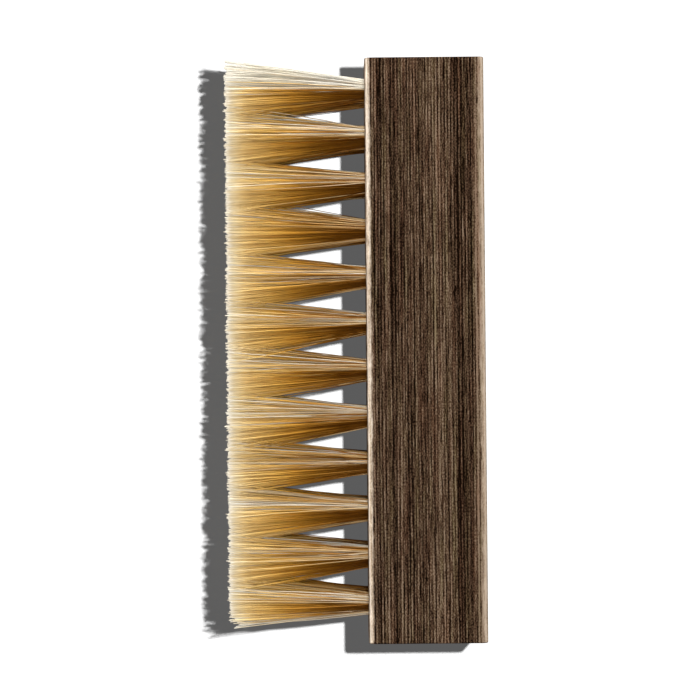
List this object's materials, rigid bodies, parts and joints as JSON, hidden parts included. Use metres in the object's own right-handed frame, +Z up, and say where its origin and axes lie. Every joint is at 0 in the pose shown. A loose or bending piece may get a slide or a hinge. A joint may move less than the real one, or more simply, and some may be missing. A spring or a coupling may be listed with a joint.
{
  "type": "shoe brush",
  "caption": "Block-shaped wooden shoe brush with straight rows of natural bristle tufts set in drilled holes, for polishing leather shoes.",
  "frame": {"origin": "under the middle of the brush, on the surface that it lies on: the middle of the bounding box's bottom", "axes": "+X along the brush's length, +Y from the bristle tips to the back of the block, +Z up across the block's width; the brush lies on its side"},
  "size_m": [0.15, 0.0662, 0.04],
  "materials": {
    "walnut": "matte",
    "bristle": "matte"
  },
  "bodies": {
    "root": {"walnut_block": "walnut", "tuft_row1_01": "bristle", "tuft_row1_02": "bristle", "tuft_row1_03": "bristle", "tuft_row1_04": "bristle", "tuft_row1_05": "bristle", "tuft_row1_06": "bristle", "tuft_row1_07": "bristle", "tuft_row1_08": "bristle", "tuft_row1_09": "bristle", "tuft_row1_10": "bristle", "tuft_row1_11": "bristle", "tuft_row1_12": "bristle", "tuft_row2_01": "bristle", "tuft_row2_02": "bristle", "tuft_row2_03": "bristle", "tuft_row2_04": "bristle", "tuft_row2_05": "bristle", "tuft_row2_06": "bristle", "tuft_row2_07": "bristle", "tuft_row2_08": "bristle", "tuft_row2_09": "bristle", "tuft_row2_10": "bristle", "tuft_row2_11": "bristle", "tuft_row2_12": "bristle", "tuft_row3_01": "bristle", "tuft_row3_02": "bristle", "tuft_row3_03": "bristle", "tuft_row3_04": "bristle", "tuft_row3_05": "bristle", "tuft_row3_06": "bristle", "tuft_row3_07": "bristle", "tuft_row3_08": "bristle", "tuft_row3_09": "bristle", "tuft_row3_10": "bristle", "tuft_row3_11": "bristle", "tuft_row3_12": "bristle"}
  },
  "joints": []
}
